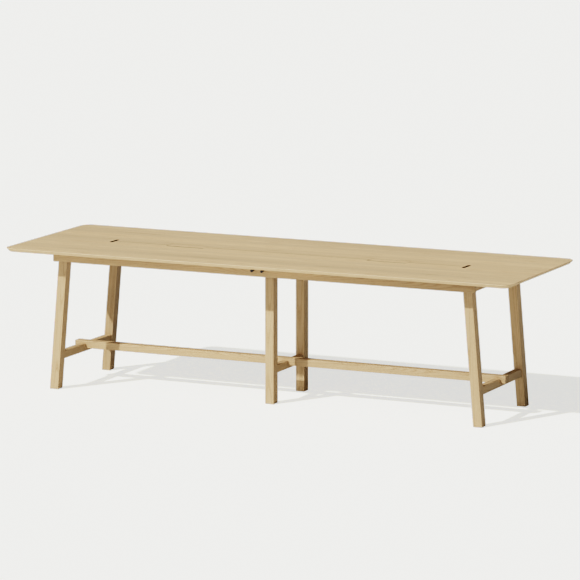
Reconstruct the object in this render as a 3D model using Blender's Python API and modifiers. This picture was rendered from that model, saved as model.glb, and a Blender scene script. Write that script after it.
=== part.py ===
"""Long oak communal table on three trestles, with two hinged cable hatches.

Metres, +Z up, origin on the floor under the middle of the table.
X runs along the table, Y across it, and -Y is the front.
"""

import math

import bmesh
import bpy
from mathutils import Vector

# Whole table
TABLE_LENGTH = 2.780
TABLE_WIDTH = 0.900
TABLE_HEIGHT = 0.740
TOP_THICKNESS = 0.0180
TOP_LIP = 0.0025  # upright part of the edge; the rest is bevelled from below
TOP_UNDERCUT = 0.0160  # how far the under-bevel runs in
TOP_CORNER_RADIUS = 0.055
TOP_EDGE_ROUND = 0.0012
OPENING_EDGE_ROUND = 0.0004
GAP = 0.0003  # air between pieces that touch in the real table

# Legs and their pads
LEG_X = 0.0468
LEG_Y = 0.0490
LEG_EDGE_ROUND = 0.0015
END_LEG_OUTER_X = 1.1995  # outer face of an end leg, at the floor
END_LEG_OUTER_Y = 0.3127
MIDDLE_LEG_OUTER_Y = 0.2086
END_LEAN = 0.0880  # how far an end trestle leans in, for each unit of height
PAD_HEIGHT = 0.0015
PAD_RADIUS = 0.0150
PAD_STEM_RADIUS = 0.0030
PAD_STEM_LENGTH = 0.0140

# Rails under the top
APRON_HALF_LENGTH = 1.1630
APRON_THICKNESS = 0.0180
APRON_HEIGHT = 0.0520
RAIL_THICKNESS = 0.0340
END_TOP_RAIL_HEIGHT = 0.0555
RAIL_EDGE_ROUND = 0.0015

# Low rails and the stretcher that lies in their notches
LOW_RAIL_BOTTOM = 0.1540
LOW_RAIL_TOP = 0.1930
STRETCHER_BOTTOM = 0.1694
STRETCHER_TOP = 0.2070
STRETCHER_WIDTH = 0.0460
STRETCHER_HALF_LENGTH = 1.2050
STRETCHER_EDGE_ROUND = 0.0020

# Tenons
TENON_THICKNESS = 0.0140
TENON_LENGTH = 0.0200
TENON_SHOULDER = 0.0060
POST_TENON_WIDTH = 0.0300

# Bolts that hold the stretcher down
BOLT_RADIUS = 0.0040
BOLT_HEAD_RADIUS = 0.0065
BOLT_HEAD_HEIGHT = 0.0060
BOLT_LENGTH = 0.0360
BOLT_SOCKET_ACROSS = 0.0060
BOLT_SOCKET_DEPTH = 0.0035

# Cable hatches, slits and centre slot
HATCH_CENTRE_X = 0.5620
HATCH_LENGTH = 0.2100
HATCH_FRONT_Y = -0.0360
HATCH_REAR_Y = 0.0340
LID_THICKNESS = 0.0090
LID_END_GAP = 0.0012
LID_REAR_GAP = 0.0018
LID_FINGER_GAP = 0.0090
LID_EDGE_ROUND = 0.0006
LEDGE_WIDTH = 0.0060
LEDGE_REAR_Y = 0.0080
PIN_FROM_REAR_EDGE = 0.0035
PIN_DEPTH = 0.0035
PIN_RADIUS = 0.0013
PIN_CLEARANCE = 0.0001  # running fit of a lid on its pins
PIN_IN_LID = 0.0080
PIN_IN_TOP = 0.0080
SLIT_X = 0.9820
SLIT_LENGTH = 0.0900
SLIT_WIDTH = 0.0180
CENTRE_SLOT_WIDTH = 0.0040

# Cable trays and socket blocks under the hatches
TRAY_INNER_X = 0.0600
TRAY_OUTER_X = 1.0300
TRAY_HALF_WIDTH = 0.0550
TRAY_DEPTH = 0.0520
TRAY_SHEET = 0.0015
TRAY_FLANGE = 0.0180
SOCKET_LENGTH = 0.1800
SOCKET_WIDTH = 0.0600
SOCKET_HEIGHT = 0.0340
SOCKET_COUNT = 3
SOCKET_PITCH = 0.0540
SOCKET_WELL_RADIUS = 0.0195
SOCKET_WELL_DEPTH = 0.0120

# Bag pegs on the aprons, and the brackets that hold the top down
PEG_X = 0.0274
PEG_Z = 0.7020
PEG_HEAD_RADIUS = 0.0070
PEG_HEAD_LENGTH = 0.0110
PEG_STANDOFF = 0.0200
PEG_STEM_RADIUS = 0.0030
PEG_IN_APRON = 0.0120
BRACKET_X = (-0.850, 0.000, 0.850)
BRACKET_OFFSET_X = 0.1200
BRACKET_LEG = 0.0250
BRACKET_SHEET = 0.0020
BRACKET_WIDTH = 0.0300

UNDERSIDE = TABLE_HEIGHT - TOP_THICKNESS
APRON_BOTTOM = UNDERSIDE - APRON_HEIGHT
APRON_BACK_Y = END_LEG_OUTER_Y + GAP
APRON_FACE_Y = APRON_BACK_Y + APRON_THICKNESS
HINGE_Y = HATCH_REAR_Y - LID_REAR_GAP - PIN_FROM_REAR_EDGE
HINGE_Z = TABLE_HEIGHT - PIN_DEPTH
SIDES = (("left", -1), ("right", 1))
FACES = (("front", -1), ("rear", 1))


def clear_scene():
    for obj in list(bpy.data.objects):
        bpy.data.objects.remove(obj)
    for mesh in list(bpy.data.meshes):
        bpy.data.meshes.remove(mesh)


def new_collection(name):
    collection = bpy.data.collections.new(name)
    bpy.context.scene.collection.children.link(collection)
    return collection


def material(name, colour, roughness, metallic=0.0):
    made = bpy.data.materials.new(name)
    made.use_nodes = True
    shader = made.node_tree.nodes["Principled BSDF"]
    shader.inputs["Base Color"].default_value = (*colour, 1.0)
    shader.inputs["Roughness"].default_value = roughness
    shader.inputs["Metallic"].default_value = metallic
    made.diffuse_color = (*colour, 1.0)
    return made


clear_scene()
TABLE = new_collection("communion_table")
CUTTERS = new_collection("cutters")
OAK = (0.56, 0.40, 0.22)
BLACK = (0.02, 0.02, 0.022)
STEEL = (0.55, 0.56, 0.57)


def add_object(name, mesh, look):
    """A piece of the table, with a material of its own."""
    obj = bpy.data.objects.new(name, mesh)
    mesh.materials.append(material(name + "_look", *look))
    TABLE.objects.link(obj)
    return obj


def add_cutter(name, mesh):
    obj = bpy.data.objects.new(name, mesh)
    obj.hide_render = True
    obj.display_type = "WIRE"
    CUTTERS.objects.link(obj)
    return obj


def mesh_from(bm, name):
    bmesh.ops.recalc_face_normals(bm, faces=bm.faces)
    mesh = bpy.data.meshes.new(name)
    bm.to_mesh(mesh)
    bm.free()
    return mesh


def box(name, low, high, lean_from=0.0, lean=0.0):
    """A box between two corners; lean moves each point along X by lean times its height."""
    bm = bmesh.new()
    bmesh.ops.create_cube(bm, size=1.0)
    low, high = Vector(low), Vector(high)
    for vert in bm.verts:
        part = vert.co + Vector((0.5, 0.5, 0.5))
        vert.co = Vector([a + (b - a) * t for a, b, t in zip(low, high, part)])
        vert.co.x += lean_from - lean * vert.co.z
    return mesh_from(bm, name)


def rod(name, start, end, radius, sides=24):
    """A round bar from one point to another."""
    bm = bmesh.new()
    start, end = Vector(start), Vector(end)
    along = end - start
    bmesh.ops.create_cone(
        bm,
        cap_ends=True,
        segments=sides,
        radius1=radius,
        radius2=radius,
        depth=along.length,
    )
    turn = Vector((0, 0, 1)).rotation_difference(along.normalized()).to_matrix()
    for vert in bm.verts:
        vert.co = turn @ vert.co + (start + end) / 2
    return mesh_from(bm, name)


def turned(name, outline, sides=32):
    """A closed solid of revolution about Z from (radius, height) points, bottom to top."""
    bm = bmesh.new()
    rings = []
    for radius, height in outline:
        if radius == 0:
            rings.append([bm.verts.new((0, 0, height))])
            continue
        angles = [2 * math.pi * i / sides for i in range(sides)]
        rings.append([bm.verts.new((radius * math.cos(a), radius * math.sin(a), height)) for a in angles])
    for low, high in zip(rings, rings[1:]):
        for i in range(sides):
            j = (i + 1) % sides
            corners = [low[i % len(low)], low[j % len(low)], high[j % len(high)], high[i % len(high)]]
            bm.faces.new(list(dict.fromkeys(corners)))
    return mesh_from(bm, name)


def extruded(name, outline, start, end):
    """A solid from a (y, z) outline, drawn out along X."""
    bm = bmesh.new()
    near = [bm.verts.new((start, y, z)) for y, z in outline]
    face = bm.faces.new(near)
    moved = bmesh.ops.extrude_face_region(bm, geom=[face])["geom"]
    bmesh.ops.translate(
        bm,
        vec=(end - start, 0, 0),
        verts=[item for item in moved if isinstance(item, bmesh.types.BMVert)],
    )
    return mesh_from(bm, name)


def round_edges(obj, width, segments=3, sharper_than=40):
    bevel = obj.modifiers.new("eased_edges", "BEVEL")
    bevel.width = width
    bevel.segments = segments
    bevel.limit_method = "ANGLE"
    bevel.angle_limit = math.radians(sharper_than)
    bevel.use_clamp_overlap = True


def cut(obj, cutter, operation="DIFFERENCE"):
    boolean = obj.modifiers.new(cutter.name, "BOOLEAN")
    boolean.operation = operation
    boolean.solver = "EXACT"
    boolean.object = cutter


def grown(low, high, by=GAP):
    return [a - by for a in low], [b + by for b in high]


def trestle_lean(side):
    """(lean_from, lean) of a trestle: side -1 is the left one, 0 the middle one, 1 the right one."""
    return side * (END_LEG_OUTER_X - LEG_X / 2), side * END_LEAN


def leg_span(side, face):
    """(low y, high y) of a leg."""
    outer = MIDDLE_LEG_OUTER_Y if side == 0 else END_LEG_OUTER_Y
    edges = (face * outer, face * (outer - LEG_Y))
    return min(edges), max(edges)


def tenon_box(side, face, bottom, top):
    """Corners of the tenon that a rail sends into a leg."""
    low_y, high_y = leg_span(side, face)
    inner = high_y if face < 0 else low_y
    ends = sorted((inner - face * TENON_LENGTH / 4, inner + face * TENON_LENGTH))
    half = TENON_THICKNESS / 2
    return (-half, ends[0], bottom + TENON_SHOULDER), (half, ends[1], top - TENON_SHOULDER)


def rounded_rectangle(half_x, half_y, radius, steps=10):
    """(x, y) points round a rectangle with rounded corners."""
    points = []
    corners = ((1, 1), (-1, 1), (-1, -1), (1, -1))
    for quarter, (side_x, side_y) in enumerate(corners):
        for i in range(steps + 1):
            turn = math.radians(90 * (quarter + i / steps))
            x = side_x * (half_x - radius) + radius * math.cos(turn)
            y = side_y * (half_y - radius) + radius * math.sin(turn)
            points.append((x, y))
    return points


def build_top():
    """The board, with its hatches, slits and centre slot."""
    bm = bmesh.new()
    levels = (
        (TOP_UNDERCUT, UNDERSIDE),
        (0.0, TABLE_HEIGHT - TOP_LIP),
        (0.0, TABLE_HEIGHT),
    )
    rings = []
    for inset, height in levels:
        outline = rounded_rectangle(
            TABLE_LENGTH / 2 - inset, TABLE_WIDTH / 2 - inset, TOP_CORNER_RADIUS - inset
        )
        rings.append([bm.verts.new((x, y, height)) for x, y in outline])
    for low, high in zip(rings, rings[1:]):
        for i in range(len(low)):
            j = (i + 1) % len(low)
            bm.faces.new([low[i], low[j], high[j], high[i]])
    bm.faces.new(rings[0])
    bm.faces.new(rings[-1])
    top = add_object("table_top", mesh_from(bm, "table_top"), (OAK, 0.5))
    round_edges(top, TOP_EDGE_ROUND)
    over, under = TABLE_HEIGHT + 0.01, UNDERSIDE - 0.01
    for name, side in SIDES:
        centre = side * HATCH_CENTRE_X
        half = HATCH_LENGTH / 2
        opening = box(
            f"hatch_{name}_rebate",
            (centre - half, HATCH_FRONT_Y, TABLE_HEIGHT - LID_THICKNESS - GAP),
            (centre + half, HATCH_REAR_Y, over),
        )
        cut(top, add_cutter(f"cut_hatch_{name}_rebate", opening))
        well = box(
            f"hatch_{name}_well",
            (centre - half + LEDGE_WIDTH, HATCH_FRONT_Y, under),
            (centre + half - LEDGE_WIDTH, HATCH_REAR_Y, over),
        )
        cut(top, add_cutter(f"cut_hatch_{name}_well", well))
        swing = box(
            f"hatch_{name}_swing",
            (centre - half, LEDGE_REAR_Y, under),
            (centre + half, HATCH_REAR_Y, over),
        )
        cut(top, add_cutter(f"cut_hatch_{name}_swing", swing))
        reach = half + PIN_IN_TOP + GAP
        bore = rod(
            f"hatch_{name}_pin_bore",
            (centre - reach, HINGE_Y, HINGE_Z),
            (centre + reach, HINGE_Y, HINGE_Z),
            PIN_RADIUS + GAP,
            sides=16,
        )
        cut(top, add_cutter(f"cut_hatch_{name}_pin_bore", bore))
        cut(top, add_cutter(f"cut_slit_{name}", slit_mesh(name, side, under, over)))
    for name, start, end in centre_slots():
        half = CENTRE_SLOT_WIDTH / 2
        slot = box(f"slot_{name}", (start, -half, under), (end, half, over))
        cut(top, add_cutter(f"cut_slot_{name}", slot))
    round_edges(top, OPENING_EDGE_ROUND, segments=2, sharper_than=60)


def slit_mesh(name, side, under, over):
    """A slot with round ends, lying across the table."""
    bm = bmesh.new()
    bmesh.ops.create_cube(bm, size=1.0)
    for vert in bm.verts:
        vert.co.x = vert.co.x * SLIT_WIDTH + side * SLIT_X
        vert.co.y *= SLIT_LENGTH
        vert.co.z = over if vert.co.z > 0 else under
    upright = [e for e in bm.edges if abs(e.verts[0].co.z - e.verts[1].co.z) > TOP_THICKNESS / 2]
    bmesh.ops.bevel(bm, geom=upright, offset=SLIT_WIDTH / 2 - 0.0001, segments=6, affect="EDGES", profile=0.5)
    return mesh_from(bm, f"slit_{name}")


def centre_slots():
    """(name, start x, end x) of the runs of the narrow slot between slits and hatches."""
    inner = HATCH_CENTRE_X - HATCH_LENGTH / 2 + GAP
    outer = HATCH_CENTRE_X + HATCH_LENGTH / 2 - GAP
    return (
        ("left", -SLIT_X, -outer),
        ("middle", -inner, inner),
        ("right", outer, SLIT_X),
    )


def build_hatch(name, side):
    """A lid, its origin on the hinge axis, and the two pins it turns on."""
    half = HATCH_LENGTH / 2 - LID_END_GAP
    front = HATCH_FRONT_Y + LID_FINGER_GAP
    rear = HATCH_REAR_Y - LID_REAR_GAP
    mesh = box(
        f"hatch_lid_{name}",
        (-half, front - HINGE_Y, TABLE_HEIGHT - LID_THICKNESS - HINGE_Z),
        (half, rear - HINGE_Y, TABLE_HEIGHT - HINGE_Z),
    )
    lid = add_object(f"hatch_lid_{name}", mesh, (OAK, 0.5))
    centre = side * HATCH_CENTRE_X
    lid.location = (centre, HINGE_Y, HINGE_Z)
    round_edges(lid, LID_EDGE_ROUND)
    for end, way in (("outer", side), ("inner", -side)):
        face = centre + way * half
        deep = face - way * PIN_IN_LID
        reach = centre + way * (HATCH_LENGTH / 2 + PIN_IN_TOP)
        bore = rod(
            f"lid_bore_{name}_{end}",
            (deep - way * GAP, HINGE_Y, HINGE_Z),
            (face + way * 0.005, HINGE_Y, HINGE_Z),
            PIN_RADIUS + PIN_CLEARANCE,
            sides=16,
        )
        cut(lid, add_cutter(f"cut_lid_bore_{name}_{end}", bore))
        pin = rod(f"hatch_pin_{name}_{end}", (deep, HINGE_Y, HINGE_Z), (reach, HINGE_Y, HINGE_Z), PIN_RADIUS, 16)
        add_object(f"hatch_pin_{name}_{end}", pin, (STEEL, 0.35, 1.0))


def build_tray(name, side):
    """Folded sheet trough for cables, and the socket block that stands in it."""
    top = UNDERSIDE - GAP
    floor = top - TRAY_DEPTH
    wall, sheet, brim = TRAY_HALF_WIDTH, TRAY_SHEET, TRAY_HALF_WIDTH + TRAY_FLANGE
    outline = [
        (-brim, top),
        (-brim, top - sheet),
        (-wall, top - sheet),
        (-wall, floor),
        (wall, floor),
        (wall, top - sheet),
        (brim, top - sheet),
        (brim, top),
        (wall - sheet, top),
        (wall - sheet, floor + sheet),
        (-wall + sheet, floor + sheet),
        (-wall + sheet, top),
    ]
    ends = sorted((side * TRAY_INNER_X, side * TRAY_OUTER_X))
    tray = add_object(f"cable_tray_{name}", extruded(f"cable_tray_{name}", outline, *ends), (BLACK, 0.55))
    tray.data.name = tray.name
    base = floor + sheet + GAP
    centre = side * HATCH_CENTRE_X
    block = box(
        f"socket_block_{name}",
        (centre - SOCKET_LENGTH / 2, -SOCKET_WIDTH / 2, base),
        (centre + SOCKET_LENGTH / 2, SOCKET_WIDTH / 2, base + SOCKET_HEIGHT),
    )
    sockets = add_object(f"socket_block_{name}", block, (BLACK, 0.45))
    round_edges(sockets, 0.0015)
    for i in range(SOCKET_COUNT):
        x = centre + (i - (SOCKET_COUNT - 1) / 2) * SOCKET_PITCH
        lid_side = base + SOCKET_HEIGHT
        well = rod(
            f"socket_well_{name}_{i}",
            (x, 0, lid_side - SOCKET_WELL_DEPTH),
            (x, 0, lid_side + 0.005),
            SOCKET_WELL_RADIUS,
        )
        cut(sockets, add_cutter(f"cut_socket_well_{name}_{i}", well))


def build_apron(name, face):
    low_y, high_y = sorted((face * APRON_BACK_Y, face * APRON_FACE_Y))
    mesh = box(
        f"apron_{name}",
        (-APRON_HALF_LENGTH, low_y, APRON_BOTTOM),
        (APRON_HALF_LENGTH, high_y, UNDERSIDE - GAP),
    )
    apron = add_object(f"apron_{name}", mesh, (OAK, 0.5))
    round_edges(apron, RAIL_EDGE_ROUND)
    for side_name, side in SIDES:
        x = side * PEG_X
        start = face * (APRON_FACE_Y - PEG_IN_APRON - GAP)
        bore = rod(
            f"peg_bore_{name}_{side_name}",
            (x, start, PEG_Z),
            (x, face * (APRON_FACE_Y + 0.01), PEG_Z),
            PEG_STEM_RADIUS + GAP,
        )
        cut(apron, add_cutter(f"cut_peg_bore_{name}_{side_name}", bore))
        build_peg(f"bag_peg_{name}_{side_name}", x, face)


def build_peg(name, x, face):
    """A round-headed peg that stands out from an apron."""
    head, soft = PEG_HEAD_RADIUS, 0.0025
    neck = PEG_IN_APRON + PEG_STANDOFF
    end = neck + PEG_HEAD_LENGTH
    outline = [
        (0, 0),
        (PEG_STEM_RADIUS, 0),
        (PEG_STEM_RADIUS, neck),
        (head - soft * 0.3, neck),
        (head, neck + soft * 0.3),
        (head, end - soft),
        (head - soft * 0.3, end - soft * 0.3),
        (head - soft, end),
        (0, end),
    ]
    peg = add_object(name, turned(name, outline), (BLACK, 0.4))
    peg.location = (x, face * (APRON_FACE_Y - PEG_IN_APRON), PEG_Z)
    peg.rotation_euler = (math.radians(-90 * face), 0, 0)


def build_leg(trestle, side, face_name, face):
    lean_from, lean = trestle_lean(side)
    low_y, high_y = leg_span(side, face)
    head = UNDERSIDE - GAP if side else APRON_BOTTOM - GAP
    name = f"leg_{trestle}_{face_name}"
    mesh = box(name, (-LEG_X / 2, low_y, PAD_HEIGHT), (LEG_X / 2, high_y, head), lean_from, lean)
    leg = add_object(name, mesh, (OAK, 0.5))
    round_edges(leg, LEG_EDGE_ROUND)
    low, high = grown(*tenon_box(side, face, LOW_RAIL_BOTTOM, LOW_RAIL_TOP))
    mortise = box(f"{name}_low_mortise", low, high, lean_from, lean)
    cut(leg, add_cutter(f"cut_{name}_low_mortise", mortise))
    if side:
        low, high = grown(*tenon_box(side, face, UNDERSIDE - END_TOP_RAIL_HEIGHT, UNDERSIDE))
        mortise = box(f"{name}_top_mortise", low, high, lean_from, lean)
        cut(leg, add_cutter(f"cut_{name}_top_mortise", mortise))
    else:
        middle = (low_y + high_y) / 2
        low, high = post_tenon(middle)
        cut(leg, add_cutter(f"{name}_post_tenon", box(f"{name}_tenon", low, high)), "UNION")
    build_pad(f"foot_pad_{trestle}_{face_name}", leg, lean_from, (low_y + high_y) / 2)


def post_tenon(y):
    """Corners of the tenon on the head of a middle leg."""
    half_x, half_y = TENON_THICKNESS / 2, POST_TENON_WIDTH / 2
    return (
        (-half_x, y - half_y, APRON_BOTTOM - TENON_SHOULDER),
        (half_x, y + half_y, APRON_BOTTOM + TENON_LENGTH),
    )


def build_pad(name, leg, x, y):
    """A nail-on pad under a leg, with its stem up a bore."""
    stem_top = PAD_HEIGHT + PAD_STEM_LENGTH
    disc_top = PAD_HEIGHT - GAP
    outline = [
        (0, 0),
        (PAD_RADIUS - 0.0005, 0),
        (PAD_RADIUS, 0.0005),
        (PAD_RADIUS, disc_top),
        (PAD_STEM_RADIUS, disc_top),
        (PAD_STEM_RADIUS, stem_top),
        (0, stem_top),
    ]
    pad = add_object(name, turned(name, outline), (BLACK, 0.7))
    pad.location = (x, y, 0)
    bore = rod(f"{name}_bore", (x, y, -0.01), (x, y, stem_top + GAP), PAD_STEM_RADIUS + GAP)
    cut(leg, add_cutter(f"cut_{name}_bore", bore))


def build_low_rail(trestle, side):
    """The rail near the floor, tenoned into two legs and notched for the stretcher."""
    lean_from, lean = trestle_lean(side)
    name = f"low_rail_{trestle}"
    half = leg_span(side, 1)[0] - GAP
    mesh = box(
        name,
        (-RAIL_THICKNESS / 2, -half, LOW_RAIL_BOTTOM),
        (RAIL_THICKNESS / 2, half, LOW_RAIL_TOP),
        lean_from,
        lean,
    )
    rail = add_object(name, mesh, (OAK, 0.5))
    round_edges(rail, RAIL_EDGE_ROUND)
    for face_name, face in FACES:
        low, high = tenon_box(side, face, LOW_RAIL_BOTTOM, LOW_RAIL_TOP)
        tenon = box(f"{name}_{face_name}_tenon", low, high, lean_from, lean)
        cut(rail, add_cutter(f"{name}_{face_name}_tenon", tenon), "UNION")
    notch_half = STRETCHER_WIDTH / 2 + GAP
    notch = box(
        f"{name}_notch",
        (-0.1, -notch_half, STRETCHER_BOTTOM - GAP),
        (0.1, notch_half, LOW_RAIL_TOP + 0.02),
        lean_from,
        lean,
    )
    cut(rail, add_cutter(f"cut_{name}_notch", notch))
    build_bolt(trestle, rail, lean_from - lean * LOW_RAIL_BOTTOM)


def build_bolt(trestle, rail, x):
    """A socket-head bolt up through a low rail into the stretcher, its head let into the rail."""
    head_bottom = LOW_RAIL_BOTTOM + 0.001
    head_top = head_bottom + BOLT_HEAD_HEIGHT
    tip = head_top + BOLT_LENGTH
    name = f"stretcher_bolt_{trestle}"
    outline = [
        (0, head_bottom),
        (BOLT_HEAD_RADIUS, head_bottom),
        (BOLT_HEAD_RADIUS, head_top),
        (BOLT_RADIUS, head_top),
        (BOLT_RADIUS, tip),
        (0, tip),
    ]
    bolt = add_object(name, turned(name, outline), (STEEL, 0.35, 1.0))
    bolt.location = (x, 0, 0)
    socket = rod(
        f"{name}_socket",
        (x, 0, head_bottom - 0.01),
        (x, 0, head_bottom + BOLT_SOCKET_DEPTH),
        BOLT_SOCKET_ACROSS / 2,
        sides=6,
    )
    cut(bolt, add_cutter(f"cut_{name}_socket", socket))
    recess = rod(
        f"{name}_recess", (x, 0, LOW_RAIL_BOTTOM - 0.01), (x, 0, head_top + GAP), BOLT_HEAD_RADIUS + GAP
    )
    cut(rail, add_cutter(f"cut_{name}_recess", recess))
    shaft = rod(f"{name}_bore", (x, 0, LOW_RAIL_BOTTOM), (x, 0, tip + GAP), BOLT_RADIUS + GAP)
    bore = add_cutter(f"cut_{name}_bore", shaft)
    cut(rail, bore)
    cut(bpy.data.objects["stretcher"], bore)


def build_stretcher():
    mesh = box(
        "stretcher",
        (-STRETCHER_HALF_LENGTH, -STRETCHER_WIDTH / 2, STRETCHER_BOTTOM),
        (STRETCHER_HALF_LENGTH, STRETCHER_WIDTH / 2, STRETCHER_TOP),
    )
    round_edges(add_object("stretcher", mesh, (OAK, 0.5)), STRETCHER_EDGE_ROUND)


def build_end_top_rail(trestle, side):
    lean_from, lean = trestle_lean(side)
    name = f"top_rail_{trestle}"
    half = leg_span(side, 1)[0] - GAP
    bottom = UNDERSIDE - END_TOP_RAIL_HEIGHT
    outward = side * (LEG_X - RAIL_THICKNESS) / 2  # flush with the outer faces of the legs
    mesh = box(
        name,
        (outward - RAIL_THICKNESS / 2, -half, bottom),
        (outward + RAIL_THICKNESS / 2, half, UNDERSIDE - GAP),
        lean_from,
        lean,
    )
    rail = add_object(name, mesh, (OAK, 0.5))
    round_edges(rail, RAIL_EDGE_ROUND)
    for face_name, face in FACES:
        low, high = tenon_box(side, face, bottom, UNDERSIDE)
        tenon = box(f"{name}_{face_name}_tenon", low, high, lean_from, lean)
        cut(rail, add_cutter(f"{name}_{face_name}_tenon", tenon), "UNION")


def build_middle_top_rail():
    """Lies on the middle legs and runs from apron to apron."""
    half = APRON_BACK_Y - GAP
    mesh = box(
        "top_rail_middle",
        (-RAIL_THICKNESS / 2, -half, APRON_BOTTOM),
        (RAIL_THICKNESS / 2, half, UNDERSIDE - GAP),
    )
    rail = add_object("top_rail_middle", mesh, (OAK, 0.5))
    round_edges(rail, RAIL_EDGE_ROUND)
    for face_name, face in FACES:
        low_y, high_y = leg_span(0, face)
        low, high = grown(*post_tenon((low_y + high_y) / 2))
        mortise = box(f"middle_mortise_{face_name}", low, high)
        cut(rail, add_cutter(f"cut_middle_mortise_{face_name}", mortise))


def build_brackets():
    """Angle brackets between the backs of the aprons and the underside of the top."""
    for face_name, face in FACES:
        for number, x in enumerate(BRACKET_X, start=1):
            centre = x + (BRACKET_OFFSET_X if x == 0 else 0)
            back = face * (APRON_BACK_Y - GAP)
            inner = back - face * BRACKET_SHEET
            reach = back - face * BRACKET_LEG
            top = UNDERSIDE - GAP
            outline = [
                (back, top),
                (reach, top),
                (reach, top - BRACKET_SHEET),
                (inner, top - BRACKET_SHEET),
                (inner, top - BRACKET_LEG),
                (back, top - BRACKET_LEG),
            ]
            name = f"top_bracket_{face_name}_{number}"
            half = BRACKET_WIDTH / 2
            mesh = extruded(name, outline, centre - half, centre + half)
            add_object(name, mesh, (STEEL, 0.4, 1.0))


def build_table():
    build_top()
    for name, side in SIDES:
        build_hatch(name, side)
        build_tray(name, side)
    for name, face in FACES:
        build_apron(name, face)
    build_stretcher()
    for trestle, side in (("left", -1), ("middle", 0), ("right", 1)):
        build_low_rail(trestle, side)
        for face_name, face in FACES:
            build_leg(trestle, side, face_name, face)
    for name, side in SIDES:
        build_end_top_rail(name, side)
    build_middle_top_rail()
    build_brackets()
    for obj in TABLE.objects:
        for face in obj.data.polygons:
            face.use_smooth = False


build_table()
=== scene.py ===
"""Finishes, small fittings, lights and camera for a long oak communal table.

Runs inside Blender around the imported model. Metres, +Z up, and -Y is the front.
"""

import math

import bmesh
import bpy
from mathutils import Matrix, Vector


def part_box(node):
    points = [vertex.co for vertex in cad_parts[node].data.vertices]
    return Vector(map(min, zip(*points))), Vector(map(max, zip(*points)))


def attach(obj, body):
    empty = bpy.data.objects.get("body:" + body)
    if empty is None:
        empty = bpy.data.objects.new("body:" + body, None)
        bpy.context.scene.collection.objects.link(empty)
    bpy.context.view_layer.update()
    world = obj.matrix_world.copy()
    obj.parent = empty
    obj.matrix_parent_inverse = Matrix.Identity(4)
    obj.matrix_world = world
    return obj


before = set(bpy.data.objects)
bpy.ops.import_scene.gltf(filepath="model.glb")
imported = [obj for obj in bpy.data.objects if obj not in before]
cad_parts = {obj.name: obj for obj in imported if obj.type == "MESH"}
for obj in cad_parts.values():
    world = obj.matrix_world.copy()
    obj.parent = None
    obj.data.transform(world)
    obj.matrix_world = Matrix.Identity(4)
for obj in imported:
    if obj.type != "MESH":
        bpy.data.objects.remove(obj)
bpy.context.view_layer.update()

# Camera: a long lens, a long way off
CAMERA_PLACE = (8.3736, -17.9748, 3.8865)
CAMERA_AIM = (0.0174, 0.0, 0.5537)
CAMERA_LENS = 246.25
CAMERA_SENSOR = 36.0

# Lights. The floor has a lamp of its own, so that it reads as a white sweep.
LAMP_TRAVEL = (0.525, 0.930, -1.000)
LAMP_WIDTH = math.radians(1.2)
TABLE_LAMP = 3.05
FLOOR_LAMP = 4.83
ROOM_GLOW = 0.320
ROOM_SLOPE = (-0.090, -0.240, -0.190)  # how the glow changes towards +X, +Y and +Z
ROOM_LEAST = 0.060
BACKDROP_GLOW = 0.955
FILL_PLACE = (-0.700, -2.500, 0.900)
FILL_SIZE = 1.6
FILL_POWER = 10.0
FLOOR_BOUNCE = (0.640, 0.640, 0.615)
FLOOR_SEEN = (0.130, 0.130, 0.126)
FLOOR_GLOW = 0.765
FLOOR_TINT = (1.000, 1.000, 0.975)
FLOOR_HALF = 90.0

# Whites: levels above the knee rise steeply to the paper white
WHITES_KNEE = 0.780
WHITES_IN = 0.950
WHITES_OUT = 1.710
WHITES_CLIP = 4.0

# Oak
RING_WIDTH = 0.0026
BOARD_WIDTH = 0.1125
BOARD_TONES = (0.20, -0.45, 0.50, -0.10, -0.50, 0.45, 0.10, -0.35)
TOP_TONE = 1.345
TOP_TINT = (0.980, 1.015, 1.050)
LEG_TONES = {"left": (0.90, 0.78), "middle": (0.91, 0.95), "right": (0.89, 1.00)}  # front, rear
SLOT_WALL_SHADE = (0.045, 0.028, 0.016)  # painted shade: near-black colour on the walls of the slots and hatch openings, for the dark inside the narrow gaps
SLOT_SHADE_REACH = (1.20, 0.060)
LATE_WOOD = (0.520, 0.372, 0.222)
EARLY_WOOD = (0.430, 0.292, 0.163)
PORE_WOOD = (0.230, 0.138, 0.068)
RAY_WOOD = (0.600, 0.455, 0.290)
HEART_WOOD = (0.455, 0.290, 0.150)
TOP_CORNER = 0.055
END_LEAN = 0.0880

# Fittings
SCREW_HEAD = 0.0036
SCREW_RISE = 0.0017
SCREW_SOCKET = 0.0014
BRACKET_SCREW_SPREAD = 0.0080
BRACKET_SCREW_REACH = 0.0155
FLANGE_WIDTH = 0.0180
FLANGE_SCREWS = 7
FLANGE_SCREW_INSET = 0.0300
CONTACT_SPREAD = 0.0095
CONTACT_OUTER = 0.0034
CONTACT_INNER = 0.0025
CONTACT_HEIGHT = 0.0026
CLIP_SIZE = (0.0042, 0.0009, 0.0095)
CLIP_PLACE = 0.93  # share of the well's radius
CLIP_LEAN = 0.12
TUBE_SIDES = 20
BORE_DEPTH = 1.4  # of a contact's height
DOME_SEGMENTS = 24
DOME_RINGS = 12
SCREW_SPIN = 0.5
SCREW_SEED = 7
TRAY_SHEET = 0.0015
BRACKET_SHEET = 0.0020
WELL_RADIUS = 0.0195
WELL_DEPTH = 0.0120
WELL_PITCH = 0.0540
WELL_COUNT = 3


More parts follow.
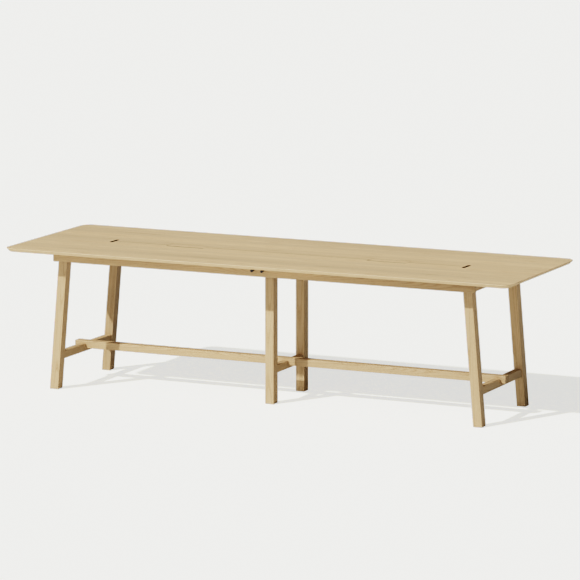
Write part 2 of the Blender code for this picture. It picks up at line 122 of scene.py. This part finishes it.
class Value:
    """An output socket that takes part in arithmetic; each operation is a Math node."""

    def __init__(self, finish, socket):
        self.finish, self.socket = finish, socket

    def math(self, operation, *others):
        inputs = dict(enumerate((self, *others)))
        return self.finish.node("ShaderNodeMath", {"operation": operation}, inputs)

    def __add__(self, other):
        return self.math("ADD", other)

    __radd__ = __add__

    def __sub__(self, other):
        return self.math("SUBTRACT", other)

    def __rsub__(self, other):
        return (self * -1.0).math("ADD", other)

    def __mul__(self, other):
        return self.math("MULTIPLY", other)

    __rmul__ = __mul__

    def __truediv__(self, other):
        return self.math("DIVIDE", other)

    def __pow__(self, other):
        return self.math("POWER", other)

    def __abs__(self):
        return self.math("ABSOLUTE")

    def least(self, other):
        return self.math("MINIMUM", other)

    def most(self, other):
        return self.math("MAXIMUM", other)

    def floor(self):
        return self.math("FLOOR")

    def root(self):
        return self.math("SQRT")


class Finish:
    """The node tree of one material."""

    def __init__(self, name):
        self.material = bpy.data.materials.new(name)
        self.material.use_nodes = True
        self.tree = self.material.node_tree
        self.shader = self.tree.nodes["Principled BSDF"]

    def node(self, kind, settings=None, inputs=None, output=0):
        """Adds one node: its settings first, then its inputs, as values or links."""
        made = self.tree.nodes.new(kind)
        for key, value in (settings or {}).items():
            if key == "stops":
                set_stops(made.color_ramp, value)
            else:
                setattr(made, key, value)
        for key, value in (inputs or {}).items():
            self.put(made.inputs[key], value)
        return Value(self, made.outputs[output])

    def put(self, socket, value):
        if isinstance(value, Value):
            self.tree.links.new(value.socket, socket)
        else:
            socket.default_value = value

    def surface(self, **inputs):
        """Sets the shader's own sockets, named with _ for a space."""
        for key, value in inputs.items():
            self.put(self.shader.inputs[key.replace("_", " ").title().replace("Ior", "IOR")], value)

    def parts(self, vector):
        """The three numbers of a vector."""
        split = self.tree.nodes.new("ShaderNodeSeparateXYZ")
        self.put(split.inputs[0], vector)
        return [Value(self, socket) for socket in split.outputs]

    def place(self):
        """x, y and z on the piece, in metres."""
        return self.parts(self.node("ShaderNodeTexCoord", output="Object"))

    def facing(self):
        """x, y and z of the surface normal."""
        return self.parts(self.node("ShaderNodeTexCoord", output="Normal"))

    def vector(self, x, y, z):
        return self.node("ShaderNodeCombineXYZ", inputs={0: x, 1: y, 2: z})

    def noise(self, x, y, z, detail=2.0, roughness=0.5):
        """Soft noise from about 0 to 1, whose cells are one unit across."""
        inputs = {"Vector": self.vector(x, y, z), "Scale": 1.0}
        inputs.update({"Detail": detail, "Roughness": roughness})
        return self.node("ShaderNodeTexNoise", inputs=inputs)

    def chance(self, number):
        """A random number from 0 to 1 for each whole number."""
        return self.node("ShaderNodeTexWhiteNoise", {"noise_dimensions": "1D"}, {"W": number})

    def ease(self, value, low, high, start=0.0, end=1.0):
        """Goes smoothly from start to end while value goes from low to high."""
        inputs = {0: value, 1: low, 2: high, 3: start, 4: end}
        return self.node("ShaderNodeMapRange", {"interpolation_type": "SMOOTHSTEP"}, inputs)

    def blend(self, share, first, second, mode="MIX"):
        """Mixes two colours."""
        settings = {"data_type": "RGBA", "blend_type": mode, "clamp_factor": True}
        colours = [c if isinstance(c, Value) else (*c, 1.0) for c in (first, second)]
        return self.node("ShaderNodeMix", settings, {0: share, 6: colours[0], 7: colours[1]}, output=2)

    def scaled(self, colour, amount):
        """A colour made brighter or darker by a number."""
        grey = self.node("ShaderNodeCombineColor", inputs={0: amount, 1: amount, 2: amount})
        return self.blend(1.0, colour, grey, "MULTIPLY")

    def relief(self, height, depth, strength=1.0):
        """A bumped normal, from a height between 0 and 1 that is depth metres tall."""
        inputs = {"Height": height, "Distance": depth, "Strength": strength}
        return self.node("ShaderNodeBump", inputs=inputs)


def set_stops(ramp, stops):
    """Gives a colour ramp its (place, grey) stops."""
    while len(ramp.elements) < len(stops):
        ramp.elements.new(0.5)
    for element, (place, grey) in zip(ramp.elements, stops):
        element.position = place
        element.color = (grey, grey, grey, 1.0)


def box_of(node):
    """(middle, half size) of a node's box."""
    low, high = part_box(node)
    return (low + high) / 2, (high - low) / 2


def bar_edge_distance(x, y, z, half):
    """How far a point on a bar's surface is from the bar's nearest edge."""
    gaps = [size - abs(place) for place, size in zip((x, y, z), half)]
    return gaps[0].least(gaps[1]).most(gaps[0].most(gaps[1]).least(gaps[2]))


def slab_edge_distance(x, y, z, half, corner):
    """The same for a slab with rounded corners in plan."""
    over_x, over_y = abs(x) - (half[0] - corner), abs(y) - (half[1] - corner)
    round_part = (over_x.most(0.0) ** 2 + over_y.most(0.0) ** 2).root()
    inside = corner - round_part - over_x.most(over_y).least(0.0)
    return inside.most(half[2] - abs(z))


def growth_radius(f, along, wide, deep, pith, seed):
    """Distance from the tree's heart, which wanders along the length of the piece."""
    wander = f.noise(along * 0.9 + seed, wide * 1.6, deep * 1.6, detail=1.0) - 0.5
    waver = f.noise(along * 4.0, wide * 30.0 + seed, deep * 30.0, detail=2.0) - 0.5
    across = wide - pith[0] + wander * 0.090
    below = deep - pith[1] + wander * 0.030
    return (across * across + below * below).root() + waver * 0.0016


def oak_figure(f, along, wide, deep, pith, seed):
    """The colour, the pores and the early wood of oak at a point in the tree."""
    radius = growth_radius(f, along, wide, deep, pith, seed)
    rings = radius / RING_WIDTH
    number = rings.floor()
    within = rings - number
    early = f.ease(within, 0.02, 0.10) * f.ease(within, 0.22, 0.60, 1.0, 0.0)
    year = f.chance(number) - 0.5
    band = f.noise(radius * 42.0 + seed, along * 0.35, seed, detail=1.0) - 0.5
    fibre = f.noise(along * 7.0, wide * 1100.0, deep * 1100.0 + seed, detail=2.0)
    streak = f.noise(along * 1.1 + seed, wide * 85.0, deep * 85.0, detail=2.0) - 0.5
    pore_cells = f.noise(along * 75.0 + seed, wide * 2300.0, deep * 2300.0, detail=0.0)
    pores = f.ease(pore_cells, 0.60, 0.70) * (early * 0.85 + 0.15)
    ray_cells = f.noise(along * 95.0, wide * 260.0 + seed, deep * 900.0, detail=1.0)
    rays = f.ease(ray_cells, 0.66, 0.74) * 0.35
    colour = f.blend(early * 0.55, LATE_WOOD, EARLY_WOOD)
    colour = f.blend(rays, colour, RAY_WOOD)
    colour = f.blend(pores * 0.75, colour, PORE_WOOD)
    shade = 1.0 + year * 0.10 + band * 0.26 + streak * 0.22 + (fibre - 0.5) * 0.16
    warmth = f.ease(band + streak, -0.10, 0.35) * 0.22
    return f.blend(warmth, f.scaled(colour, shade), HEART_WOOD), pores, early, fibre


def finish_oak(f, colour, pores, early, fibre, end_grain, wear_and_sheen, blotch):
    """Oil over the figure: darker thirsty end grain, and lighter edges, partly from wear and partly a
    painted sheen highlight.
    """
    colour = f.blend(end_grain * 0.35, colour, f.scaled(colour, 0.62))
    # Lighter edges: partly wear, partly a painted sheen highlight.
    colour = f.blend(wear_and_sheen * 0.30, colour, RAY_WOOD)
    rough = 0.56 + pores * 0.18 + early * 0.04 + end_grain * 0.12 - wear_and_sheen * 0.08
    rough = rough + (blotch - 0.5) * 0.10
    height = 0.6 - pores * 0.6 - early * 0.12 + fibre * 0.16
    f.surface(base_color=colour, roughness=rough, normal=f.relief(height, 0.00016, 0.6))
    f.surface(specular_ior_level=0.32)
    return f.material


def oak_for_bar(node, grain, seed, lean=0.0, pith=(0.012, -0.075), tone=1.0, falloff_shade=0.0):
    """Oak for a straight bar. grain is the axis its fibres run along; fade darkens the far end as painted
    shade, for light that falls off towards that end.
    """
    f = Finish("oak_" + node)
    middle, half = box_of(node)
    half.x -= abs(lean) * half.z
    x, y, z = f.place()
    z = z - middle.z
    x = x - middle.x + z * lean
    y = y - middle.y
    along, wide, deep = {"x": (x, y, z), "y": (y, x, z), "z": (z, x, y)}[grain]
    colour, pores, early, fibre = oak_figure(f, along + seed * 1.7, wide, deep, pith, seed)
    edge_gap = bar_edge_distance(x, y, z, half)
    patchy = f.noise(along * 6.0, wide * 30.0, deep * 30.0 + seed, detail=2.0)
    # Mask of the lighter edges: wear plus a painted sheen highlight.
    wear_and_sheen = f.ease(edge_gap, 0.0004, 0.0026, 1.0, 0.0) * f.ease(patchy, 0.30, 0.70)
    end_grain = f.ease(abs(f.facing()["xyz".index(grain)]), 0.60, 0.88)
    # Painted shade: darker towards the far end, for light that falls off that way.
    colour = f.scaled(colour, tone - f.ease(along, 0.10, 1.0) * falloff_shade)
    return finish_oak(f, colour, pores, early, fibre, end_grain, wear_and_sheen, patchy)


def oak_for_top():
    """Oak boards glued edge to edge, for the top and the lids cut from it."""
    f = Finish("oak_boards")
    middle, half = box_of("table_top")
    x, y, z = f.place()
    z = z - middle.z
    count = len(BOARD_TONES)
    place = (y + half.y) / BOARD_WIDTH
    board = place.floor()
    off_centre = place - board - 0.5
    luck = f.chance(board + 5.0)
    along = x + luck * 37.0
    wide = off_centre * BOARD_WIDTH + (luck - 0.5) * 0.05
    stops = [((i + 0.5) / count, 0.5 + tone / 2) for i, tone in enumerate(BOARD_TONES)]
    share = ((board + 0.5) / count).most(0.0).least(1.0)
    tone = f.node("ShaderNodeValToRGB", {"stops": stops}, {0: share})
    deep = z * (1.0 + luck) - luck * 0.03
    colour, pores, early, fibre = oak_figure(f, along, wide, deep, (0.0, -0.085), luck * 9.0)
    joint = f.ease(0.5 - abs(off_centre), 0.0008, 0.0045, 1.0, 0.0)
    drift = f.noise(x * 0.5, y * 2.2, 3.7, detail=1.0) - 0.5
    sweep = f.noise(x * 0.75 + luck * 5.0, y * 26.0, luck * 3.0, detail=2.0) - 0.5
    level = 0.925 + tone * 0.15 + drift * 0.10 + sweep * 0.26
    colour = f.blend(1.0, f.scaled(colour, level * TOP_TONE), TOP_TINT, "MULTIPLY")
    colour = f.blend(joint * 0.30, colour, f.scaled(colour, 0.55))
    # Painted shade: the upright walls of the slots and hatch openings near the middle are coloured near
    # black, for the dark inside the narrow gaps.
    shaded_wall_mask = f.ease(abs(f.facing()[2]), 0.30, 0.60, 1.0, 0.0)
    near_x = f.ease(abs(x), SLOT_SHADE_REACH[0], SLOT_SHADE_REACH[0] + 0.05, 1.0, 0.0)
    near_y = f.ease(abs(y), SLOT_SHADE_REACH[1], SLOT_SHADE_REACH[1] + 0.01, 1.0, 0.0)
    colour = f.blend(shaded_wall_mask * near_x * near_y, colour, SLOT_WALL_SHADE)
    edge_gap = slab_edge_distance(x, y, z, half, TOP_CORNER)
    patchy = f.noise(x * 7.0, y * 7.0, z * 40.0, detail=3.0)
    # Mask of the lighter edges: wear plus a painted sheen highlight.
    wear_and_sheen = f.ease(edge_gap, 0.0004, 0.0030, 1.0, 0.0) * f.ease(patchy, 0.25, 0.60)
    end_grain = f.ease(abs(f.facing()[0]), 0.45, 0.68)
    return finish_oak(f, colour, pores, early, fibre, end_grain, wear_and_sheen, patchy)


def powder_coat():
    """Black powder coat with a fine orange peel."""
    f = Finish("black_powder_coat")
    x, y, z = f.place()
    peel = f.noise(x * 900.0, y * 900.0, z * 900.0, detail=2.0)
    cloud = f.noise(x * 14.0, y * 14.0, z * 14.0, detail=3.0)
    colour = f.blend(cloud, (0.014, 0.014, 0.015), (0.024, 0.024, 0.025))
    f.surface(base_color=colour, roughness=0.48 + peel * 0.12 + cloud * 0.08)
    f.surface(normal=f.relief(peel, 0.00008, 0.5))
    return f.material


def moulded_plastic():
    """Black plastic with a sparked mould texture."""
    f = Finish("black_moulded_plastic")
    x, y, z = f.place()
    grain = f.noise(x * 2400.0, y * 2400.0, z * 2400.0, detail=1.0)
    cloud = f.noise(x * 40.0, y * 40.0, z * 40.0, detail=2.0)
    colour = f.blend(cloud, (0.016, 0.016, 0.017), (0.027, 0.027, 0.028))
    f.surface(base_color=colour, roughness=0.38 + grain * 0.14 + cloud * 0.06)
    f.surface(normal=f.relief(grain, 0.00004, 0.5))
    return f.material


def hard_rubber():
    """Dull black rubber, scuffed by the floor."""
    f = Finish("hard_rubber")
    x, y, z = f.place()
    scuff = f.noise(x * 260.0, y * 260.0, z * 260.0, detail=3.0)
    colour = f.blend(f.ease(scuff, 0.45, 0.75), (0.016, 0.016, 0.016), (0.060, 0.058, 0.055))
    f.surface(base_color=colour, roughness=0.78 + scuff * 0.15)
    f.surface(normal=f.relief(scuff, 0.00010, 0.6))
    return f.material


def zinc_plate(name="zinc_plate"):
    """Bright zinc on steel, with rolling marks and faint cloudy patches."""
    f = Finish(name)
    x, y, z = f.place()
    marks = f.noise(x * 60.0, y * 1500.0, z * 1500.0, detail=2.0)
    cloud = f.noise(x * 90.0, y * 90.0, z * 90.0, detail=3.0)
    colour = f.blend(cloud, (0.480, 0.490, 0.500), (0.640, 0.645, 0.640))
    f.surface(base_color=colour, metallic=1.0, roughness=0.26 + marks * 0.14 + cloud * 0.10)
    f.surface(normal=f.relief(marks, 0.00003, 0.5))
    return f.material


def contact_brass():
    """Dull brass of a socket's contacts."""
    f = Finish("contact_brass")
    x, y, z = f.place()
    tarnish = f.noise(x * 700.0, y * 700.0, z * 700.0, detail=3.0)
    colour = f.blend(tarnish, (0.560, 0.400, 0.160), (0.690, 0.520, 0.250))
    f.surface(base_color=colour, metallic=1.0, roughness=0.28 + tarnish * 0.20)
    return f.material


def smooth_edges_tree():
    """Geometry nodes that shade a mesh smooth but for its sharp edges."""
    tree = bpy.data.node_groups.new("smooth_but_sharp", "GeometryNodeTree")
    tree.interface.new_socket("Geometry", in_out="INPUT", socket_type="NodeSocketGeometry")
    limit = tree.interface.new_socket("Sharp Angle", in_out="INPUT", socket_type="NodeSocketFloat")
    limit.default_value = math.radians(50)
    tree.interface.new_socket("Geometry", in_out="OUTPUT", socket_type="NodeSocketGeometry")
    make, link = tree.nodes.new, tree.links.new
    given, result = make("NodeGroupInput"), make("NodeGroupOutput")
    faces, edges = make("GeometryNodeSetShadeSmooth"), make("GeometryNodeSetShadeSmooth")
    faces.domain, edges.domain = "FACE", "EDGE"
    angle, sharp = make("GeometryNodeInputMeshEdgeAngle"), make("FunctionNodeCompare")
    sharp.data_type, sharp.operation = "FLOAT", "GREATER_THAN"
    link(given.outputs[0], faces.inputs["Geometry"])
    link(faces.outputs[0], edges.inputs["Geometry"])
    link(angle.outputs["Unsigned Angle"], sharp.inputs[0])
    link(given.outputs["Sharp Angle"], sharp.inputs[1])
    link(sharp.outputs[0], edges.inputs["Selection"])
    edges.inputs["Shade Smooth"].default_value = False
    link(edges.outputs[0], result.inputs[0])
    return tree


def dress(node, material, tree):
    """Gives a CAD node its finish, and shades its eased edges round."""
    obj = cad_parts[node]
    if not obj.material_slots:
        obj.data.materials.append(material)
    for slot in obj.material_slots:
        slot.material = material
    weld = obj.modifiers.new("weld", "WELD")
    weld.merge_threshold = 0.00001
    flat = obj.modifiers.new("join_flat_faces", "DECIMATE")
    flat.decimate_type = "DISSOLVE"
    flat.angle_limit = math.radians(0.3)
    smooth = obj.modifiers.new("smooth", "NODES")
    smooth.node_group = tree
    weights = obj.modifiers.new("weighted_normals", "WEIGHTED_NORMAL")
    weights.keep_sharp = True
    weights.weight = 100


def dress_table():
    tree = smooth_edges_tree()
    boards = oak_for_top()
    for node in ("table_top", "hatch_lid_left", "hatch_lid_right"):
        dress(node, boards, tree)
    for number, face in enumerate(("front", "rear")):
        apron = f"apron_{face}"
        dress(apron, oak_for_bar(apron, "x", 3.0 + number, pith=(-0.080, 0.010), falloff_shade=0.16), tree)
    stretcher = oak_for_bar("stretcher", "x", 7.0, pith=(-0.070, 0.020), tone=0.92, falloff_shade=0.08)
    dress("stretcher", stretcher, tree)
    leans = {"left": -END_LEAN, "middle": 0.0, "right": END_LEAN}
    for number, (trestle, lean) in enumerate(leans.items()):
        for other, face in enumerate(("front", "rear")):
            leg = f"leg_{trestle}_{face}"
            seed = 11.0 + 2.0 * number + other
            pith = (0.015 * (1 - number), 0.070 if other else -0.085)
            dress(leg, oak_for_bar(leg, "z", seed, lean, pith, LEG_TONES[trestle][other]), tree)
        for other, rail in enumerate(("low_rail", "top_rail")):
            name = f"{rail}_{trestle}"
            seed = 21.0 + 2.0 * number + other
            dress(name, oak_for_bar(name, "y", seed, lean, tone=0.90), tree)
    looks = {
        "cable_tray": powder_coat(),
        "bag_peg": moulded_plastic(),
        "socket_block": bpy.data.materials["black_moulded_plastic"],
        "foot_pad": hard_rubber(),
        "hatch_pin": zinc_plate(),
        "stretcher_bolt": bpy.data.materials["zinc_plate"],
        "top_bracket": bpy.data.materials["zinc_plate"],
    }
    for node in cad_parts:
        for start, look in looks.items():
            if node.startswith(start):
                dress(node, look, tree)


class Maker:
    """A geometry tree with named inputs, whose nodes are added one call at a time."""

    def __init__(self, name, sizes):
        self.tree = bpy.data.node_groups.new(name, "GeometryNodeTree")
        face = self.tree.interface
        face.new_socket("Geometry", in_out="INPUT", socket_type="NodeSocketGeometry")
        self.sizes = {}
        for size in sizes:
            made = face.new_socket(size, in_out="INPUT", socket_type="NodeSocketFloat")
            self.sizes[size] = made.identifier
        made = face.new_socket("Finish", in_out="INPUT", socket_type="NodeSocketMaterial")
        self.finish = made.identifier
        face.new_socket("Geometry", in_out="OUTPUT", socket_type="NodeSocketGeometry")
        self.given = self.tree.nodes.new("NodeGroupInput")

    def size(self, name):
        return self.given.outputs[name]

    def add(self, kind, inputs=None, output=0, **settings):
        made = self.tree.nodes.new(kind)
        for key, value in settings.items():
            setattr(made, key, value)
        for key, value in (inputs or {}).items():
            for one in value if isinstance(value, list) else [value]:
                if isinstance(one, bpy.types.NodeSocket):
                    self.tree.links.new(one, made.inputs[key])
                else:
                    made.inputs[key].default_value = one
        return made.outputs[output]

    def moved(self, mesh, place=(0, 0, 0), turn=(0, 0, 0), scale=(1, 1, 1)):
        inputs = {"Geometry": mesh, "Translation": place, "Rotation": turn, "Scale": scale}
        return self.add("GeometryNodeTransform", inputs)

    def minus(self, mesh, cutter):
        inputs = {"Mesh 1": mesh, "Mesh 2": cutter}
        return self.add("GeometryNodeMeshBoolean", inputs, operation="DIFFERENCE", solver="EXACT")

    def times(self, first, second):
        return self.add("ShaderNodeMath", {0: first, 1: second}, operation="MULTIPLY")

    def vector(self, x, y, z):
        return self.add("ShaderNodeCombineXYZ", {0: x, 1: y, 2: z})

    def finished(self, fitting, spin=0.0):
        """Sets one fitting on each point, turned by the point's own turn attribute."""
        turn = self.add("GeometryNodeInputNamedAttribute", {"Name": "turn"}, data_type="FLOAT_VECTOR")
        turned = self.add("FunctionNodeEulerToRotation", {0: turn})
        luck = self.tree.nodes.new("FunctionNodeRandomValue")
        luck.data_type = "FLOAT"
        ranges = [socket for socket in luck.inputs if socket.type == "VALUE" and socket.enabled]
        ranges[0].default_value, ranges[1].default_value = -spin, spin
        luck.inputs["Seed"].default_value = SCREW_SEED
        drawn = next(socket for socket in luck.outputs if socket.type == "VALUE" and socket.enabled)
        own_spin = self.add("FunctionNodeEulerToRotation", {0: self.vector(0.0, 0.0, drawn)})
        inputs = {"Rotation": turned, "Rotate By": own_spin}
        both = self.add("FunctionNodeRotateRotation", inputs, rotation_space="LOCAL")
        points = {"Points": self.given.outputs["Geometry"], "Instance": fitting, "Rotation": both}
        placed = self.add("GeometryNodeInstanceOnPoints", points)
        real = self.add("GeometryNodeRealizeInstances", {"Geometry": placed})
        inputs = {"Geometry": real, "Material": self.given.outputs["Finish"]}
        result = self.add("GeometryNodeSetMaterial", inputs)
        self.tree.links.new(result, self.tree.nodes.new("NodeGroupOutput").inputs[0])
        return self


def screw_maker():
    """A domed screw head with a six-sided socket, its face towards the point's own +Z."""
    maker = Maker("domed_screws", ("Head Radius", "Head Rise", "Socket Radius"))
    radius, rise = maker.size("Head Radius"), maker.size("Head Rise")
    round_shape = {"Segments": DOME_SEGMENTS, "Rings": DOME_RINGS, "Radius": 1.0}
    ball = maker.add("GeometryNodeMeshUVSphere", round_shape)
    dome = maker.moved(ball, scale=maker.vector(radius, radius, rise))
    socket = {"Vertices": 6, "Radius": maker.size("Socket Radius"), "Depth": rise}
    cutter = maker.moved(maker.add("GeometryNodeMeshCylinder", socket), maker.vector(0.0, 0.0, rise))
    return maker.finished(maker.minus(dome, cutter), spin=SCREW_SPIN)


def contact_maker():
    """Two tube contacts and two earth clips on the floor of a socket well."""
    sizes = ("Spread", "Outer Radius", "Inner Radius", "Height", "Well Radius")
    maker = Maker("socket_contacts", sizes)
    spread, height = maker.size("Spread"), maker.size("Height")
    meshes = []
    for side in (-1.0, 1.0):
        barrel = {"Vertices": TUBE_SIDES, "Depth": height, "Radius": maker.size("Outer Radius")}
        tube = maker.add("GeometryNodeMeshCylinder", barrel)
        deep = maker.times(height, BORE_DEPTH)
        hole = {"Vertices": TUBE_SIDES, "Depth": deep, "Radius": maker.size("Inner Radius")}
        drill = maker.add("GeometryNodeMeshCylinder", hole)
        bored = maker.minus(tube, maker.moved(drill, maker.vector(0.0, 0.0, height)))
        up = maker.times(height, 0.5)
        meshes.append(maker.moved(bored, maker.vector(maker.times(spread, side), 0.0, up)))
        bar = maker.add("GeometryNodeMeshCube", {"Size": CLIP_SIZE})
        wall = maker.times(maker.size("Well Radius"), side * CLIP_PLACE)
        leaned = maker.moved(bar, maker.vector(0.0, wall, CLIP_SIZE[2] / 2), (side * CLIP_LEAN, 0.0, 0.0))
        meshes.append(leaned)
    return maker.finished(maker.add("GeometryNodeJoinGeometry", {"Geometry": meshes}))


def place_fittings(name, maker, sizes, finish, spots):
    """One mesh of fittings at the (place, turn) spots, fixed to the table."""
    mesh = bpy.data.meshes.new(name + "_points")
    mesh.from_pydata([place for place, turn in spots], [], [])
    turns = mesh.attributes.new("turn", "FLOAT_VECTOR", "POINT")
    turns.data.foreach_set("vector", [angle for place, turn in spots for angle in turn])
    points = bpy.data.objects.new(name + "_points", mesh)
    modifier = points.modifiers.new("fittings", "NODES")
    modifier.node_group = maker.tree
    for size, value in sizes.items():
        modifier[maker.sizes[size]] = value
    modifier[maker.finish] = finish
    bpy.context.scene.collection.objects.link(points)
    graph = bpy.context.evaluated_depsgraph_get()
    real = bpy.data.meshes.new_from_object(points.evaluated_get(graph))
    bpy.data.objects.remove(points)
    piece = bpy.data.objects.new(name, real)
    bpy.context.scene.collection.objects.link(piece)
    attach(piece, "table")


def add_fittings():
    screws, contacts = screw_maker(), contact_maker()
    screw_sizes = {"Head Radius": SCREW_HEAD, "Head Rise": SCREW_RISE, "Socket Radius": SCREW_SOCKET}
    face_down = (math.pi, 0.0, 0.0)
    zinc, brass = bpy.data.materials["zinc_plate"], contact_brass()
    for face, way in (("front", 1), ("rear", -1)):
        inwards = (-way * math.pi / 2, 0.0, 0.0)
        for number in (1, 2, 3):
            bracket = f"top_bracket_{face}_{number}"
            low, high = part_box(bracket)
            back = low.y if way > 0 else high.y
            spots = []
            for shift in (-BRACKET_SCREW_SPREAD, BRACKET_SCREW_SPREAD):
                x = (low.x + high.x) / 2 + shift
                spots.append(((x, back + way * BRACKET_SCREW_REACH, high.z - BRACKET_SHEET), face_down))
                spots.append(((x, back + way * BRACKET_SHEET, high.z - BRACKET_SCREW_REACH), inwards))
            name = f"bracket_screws_{face}_{number}"
            place_fittings(name, screws, screw_sizes, zinc, spots)
    for side in ("left", "right"):
        low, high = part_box("cable_tray_" + side)
        run = high.x - low.x - 2 * FLANGE_SCREW_INSET
        spots = []
        for i in range(FLANGE_SCREWS):
            x = low.x + FLANGE_SCREW_INSET + run * i / (FLANGE_SCREWS - 1)
            for y in (low.y + FLANGE_WIDTH / 2, high.y - FLANGE_WIDTH / 2):
                spots.append(((x, y, high.z - TRAY_SHEET), face_down))
        place_fittings("tray_screws_" + side, screws, screw_sizes, zinc, spots)
        low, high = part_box("socket_block_" + side)
        middle = (low + high) / 2
        spots = []
        for i in range(WELL_COUNT):
            x = middle.x + (i - (WELL_COUNT - 1) / 2) * WELL_PITCH
            spots.append(((x, middle.y, high.z - WELL_DEPTH), (0.0, 0.0, 0.0)))
        sizes = {
            "Spread": CONTACT_SPREAD,
            "Outer Radius": CONTACT_OUTER,
            "Inner Radius": CONTACT_INNER,
            "Height": CONTACT_HEIGHT,
            "Well Radius": WELL_RADIUS,
        }
        place_fittings("socket_contacts_" + side, contacts, sizes, brass, spots)


def make_camera():
    data = bpy.data.cameras.new("camera")
    data.lens, data.sensor_width = CAMERA_LENS, CAMERA_SENSOR
    data.clip_start, data.clip_end = 1.0, 400.0
    camera = bpy.data.objects.new("camera", data)
    camera.location = CAMERA_PLACE
    aim = Vector(CAMERA_AIM) - Vector(CAMERA_PLACE)
    camera.rotation_euler = aim.to_track_quat("-Z", "Y").to_euler()
    bpy.context.scene.collection.objects.link(camera)
    bpy.context.scene.camera = camera


def make_floor():
    """A pale floor that is brighter to the camera than to the table standing on it."""
    bm = bmesh.new()
    bmesh.ops.create_grid(bm, x_segments=1, y_segments=1, size=FLOOR_HALF)
    mesh = bpy.data.meshes.new("floor")
    bm.to_mesh(mesh)
    bm.free()
    floor = bpy.data.objects.new("floor", mesh)
    bpy.context.scene.collection.objects.link(floor)
    f = Finish("white_floor")
    seen = f.node("ShaderNodeLightPath", output="Is Camera Ray")
    f.surface(base_color=f.blend(seen, FLOOR_BOUNCE, FLOOR_SEEN), roughness=1.0)
    f.surface(specular_ior_level=0.0, emission_color=(*FLOOR_TINT, 1.0))
    f.surface(emission_strength=seen * FLOOR_GLOW)
    clear = f.node("ShaderNodeBsdfTransparent")
    under = f.node("ShaderNodeNewGeometry", output="Backfacing")
    shader = Value(f, f.shader.outputs[0])
    shown = f.node("ShaderNodeMixShader", inputs={0: under, 1: shader, 2: clear})
    f.put(f.tree.nodes["Material Output"].inputs["Surface"], shown)
    mesh.materials.append(f.material)
    return floor


def make_room():
    """A pale glow, weaker to the right, the rear and overhead, behind a plain backdrop."""
    world = bpy.data.worlds.new("room")
    world.use_nodes = True
    bpy.context.scene.world = world
    nodes, links = world.node_tree.nodes, world.node_tree.links
    glow = nodes["Background"]
    way = nodes.new("ShaderNodeTexCoord")
    slope = nodes.new("ShaderNodeVectorMath")
    slope.operation = "DOT_PRODUCT"
    slope.inputs[1].default_value = ROOM_SLOPE
    links.new(way.outputs["Generated"], slope.inputs[0])
    total = nodes.new("ShaderNodeMath")
    total.inputs[1].default_value = ROOM_GLOW
    links.new(slope.outputs["Value"], total.inputs[0])
    least = nodes.new("ShaderNodeMath")
    least.operation = "MAXIMUM"
    least.inputs[1].default_value = ROOM_LEAST
    links.new(total.outputs[0], least.inputs[0])
    seen = nodes.new("ShaderNodeLightPath")
    level = nodes.new("ShaderNodeMapRange")
    level.inputs["To Max"].default_value = BACKDROP_GLOW
    glow.inputs["Color"].default_value = (1.0, 1.0, 0.985, 1.0)
    links.new(seen.outputs["Is Camera Ray"], level.inputs["Value"])
    links.new(least.outputs[0], level.inputs["To Min"])
    links.new(level.outputs[0], glow.inputs["Strength"])


def hang_lamp(data, floor, state):
    """Hangs a lamp that lights only the floor, or all but the floor."""
    lamp = bpy.data.objects.new(data.name, data)
    bpy.context.scene.collection.objects.link(lamp)
    receivers = bpy.data.collections.new(data.name + "_receivers")
    receivers.objects.link(floor)
    lamp.light_linking.receiver_collection = receivers
    receivers.collection_objects[0].light_linking.link_state = state
    return lamp


def make_lamp(name, strength, floor, state):
    """A distant lamp."""
    data = bpy.data.lights.new(name, "SUN")
    data.energy, data.angle = strength, LAMP_WIDTH
    lamp = hang_lamp(data, floor, state)
    lamp.rotation_euler = Vector(LAMP_TRAVEL).to_track_quat("-Z", "Y").to_euler()


def make_fill(floor):
    """A broad weak lamp in front, left of the middle."""
    data = bpy.data.lights.new("fill", "AREA")
    data.energy, data.size = FILL_POWER, FILL_SIZE
    lamp = hang_lamp(data, floor, "EXCLUDE")
    lamp.location = FILL_PLACE
    lamp.rotation_euler = (-Vector(FILL_PLACE)).to_track_quat("-Z", "Y").to_euler()
    lamp.visible_camera = False


def set_whites():
    """Keeps wood tones as they are, and lifts the near-white floor and backdrop to paper white."""
    view = bpy.context.scene.view_settings
    view.view_transform, view.look = "Filmic", "Very High Contrast"
    view.use_curve_mapping = True
    mapping = view.curve_mapping
    mapping.clip_max_x = mapping.clip_max_y = WHITES_CLIP
    mapping.extend = "EXTRAPOLATED"
    curve = mapping.curves[3]
    curve.points[1].location = (WHITES_IN, WHITES_OUT)
    curve.points.new(WHITES_KNEE, WHITES_KNEE)
    for point in curve.points:
        point.handle_type = "VECTOR"
    mapping.update()


dress_table()
add_fittings()
make_camera()
studio_floor = make_floor()
make_room()
make_lamp("table_lamp", TABLE_LAMP, studio_floor, "EXCLUDE")
make_lamp("floor_lamp", FLOOR_LAMP, studio_floor, "INCLUDE")
make_fill(studio_floor)
set_whites()
